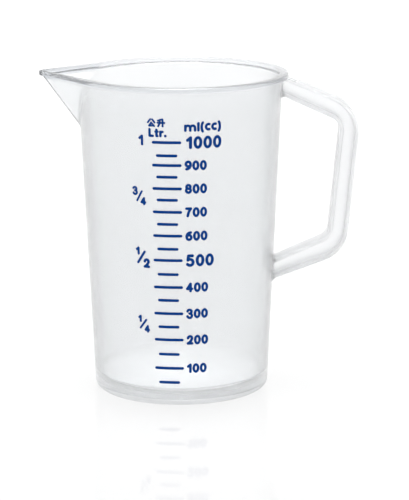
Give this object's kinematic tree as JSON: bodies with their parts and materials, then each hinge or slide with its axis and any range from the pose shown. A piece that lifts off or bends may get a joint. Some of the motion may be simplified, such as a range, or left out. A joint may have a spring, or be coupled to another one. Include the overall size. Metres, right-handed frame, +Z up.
{
  "type": "measuring beaker with handle",
  "caption": "Tall tapered translucent plastic measuring jug with a beaded rim, V-shaped pouring spout, I-section side handle and a printed volume scale.",
  "frame": {"origin": "centre of the foot on the table, on the axis of the tapered cup", "axes": "+Z up along the cup's axis, +X towards the handle, -X towards the spout, -Y towards the printed scale"},
  "size_m": [0.1701, 0.1154, 0.1724],
  "materials": {
    "translucent_plastic": "translucent natural polypropylene, satin",
    "scale_ink": "screen-printed ink, satin"
  },
  "bodies": {
    "root": {"foot_ring": "translucent_plastic", "base_floor": "translucent_plastic", "cup_wall": "translucent_plastic", "rim_bead": "translucent_plastic", "spout_walls": "translucent_plastic", "spout_lip": "translucent_plastic", "handle_upper_arm": "translucent_plastic", "handle_upper_bend": "translucent_plastic", "handle_grip": "translucent_plastic", "handle_lower_bend": "translucent_plastic", "handle_lower_arm": "translucent_plastic", "marks_every_100_ml": "scale_ink", "marks_every_50_ml": "scale_ink", "numbers_in_millilitres": "scale_ink", "fractions_of_a_litre": "scale_ink", "heading_litres": "scale_ink", "heading_millilitres": "scale_ink"}
  },
  "joints": []
}
